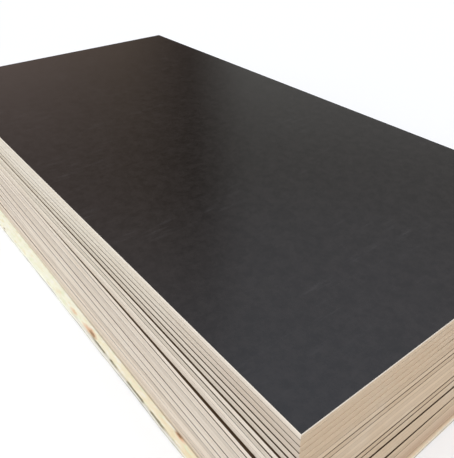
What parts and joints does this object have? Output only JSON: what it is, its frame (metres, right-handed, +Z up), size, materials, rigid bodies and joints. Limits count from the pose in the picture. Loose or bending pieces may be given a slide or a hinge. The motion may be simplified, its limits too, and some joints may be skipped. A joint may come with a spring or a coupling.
{
  "type": "stack of film-faced plywood sheets",
  "caption": "Flat stack of full-size dark film-faced plywood sheets with pale sawn edges, slightly out of line, lying on a raw wooden base board.",
  "frame": {"origin": "centre of the base board's underside, on the floor", "axes": "+X along the sheets' length towards the near end, +Y across them, +Z up"},
  "size_m": [2.511, 1.3214, 0.486],
  "materials": {
    "film_faced_plywood": "dark phenolic film on both faces, pale sealed sawn edges",
    "raw_board": "raw pale board with knots, weathered at its edges"
  },
  "bodies": {
    "root": {"base_board": "raw_board", "sheet_01": "film_faced_plywood", "sheet_02": "film_faced_plywood", "sheet_03": "film_faced_plywood", "sheet_04": "film_faced_plywood", "sheet_05": "film_faced_plywood", "sheet_06": "film_faced_plywood", "sheet_07": "film_faced_plywood", "sheet_08": "film_faced_plywood", "sheet_09": "film_faced_plywood", "sheet_10": "film_faced_plywood", "sheet_11": "film_faced_plywood", "sheet_12": "film_faced_plywood", "sheet_13": "film_faced_plywood", "sheet_14": "film_faced_plywood", "sheet_15": "film_faced_plywood", "sheet_16": "film_faced_plywood", "sheet_17": "film_faced_plywood", "sheet_18": "film_faced_plywood", "sheet_19": "film_faced_plywood", "sheet_20": "film_faced_plywood", "sheet_21": "film_faced_plywood", "sheet_22": "film_faced_plywood", "sheet_23": "film_faced_plywood", "sheet_24": "film_faced_plywood", "sheet_25": "film_faced_plywood", "sheet_26": "film_faced_plywood"}
  },
  "joints": []
}
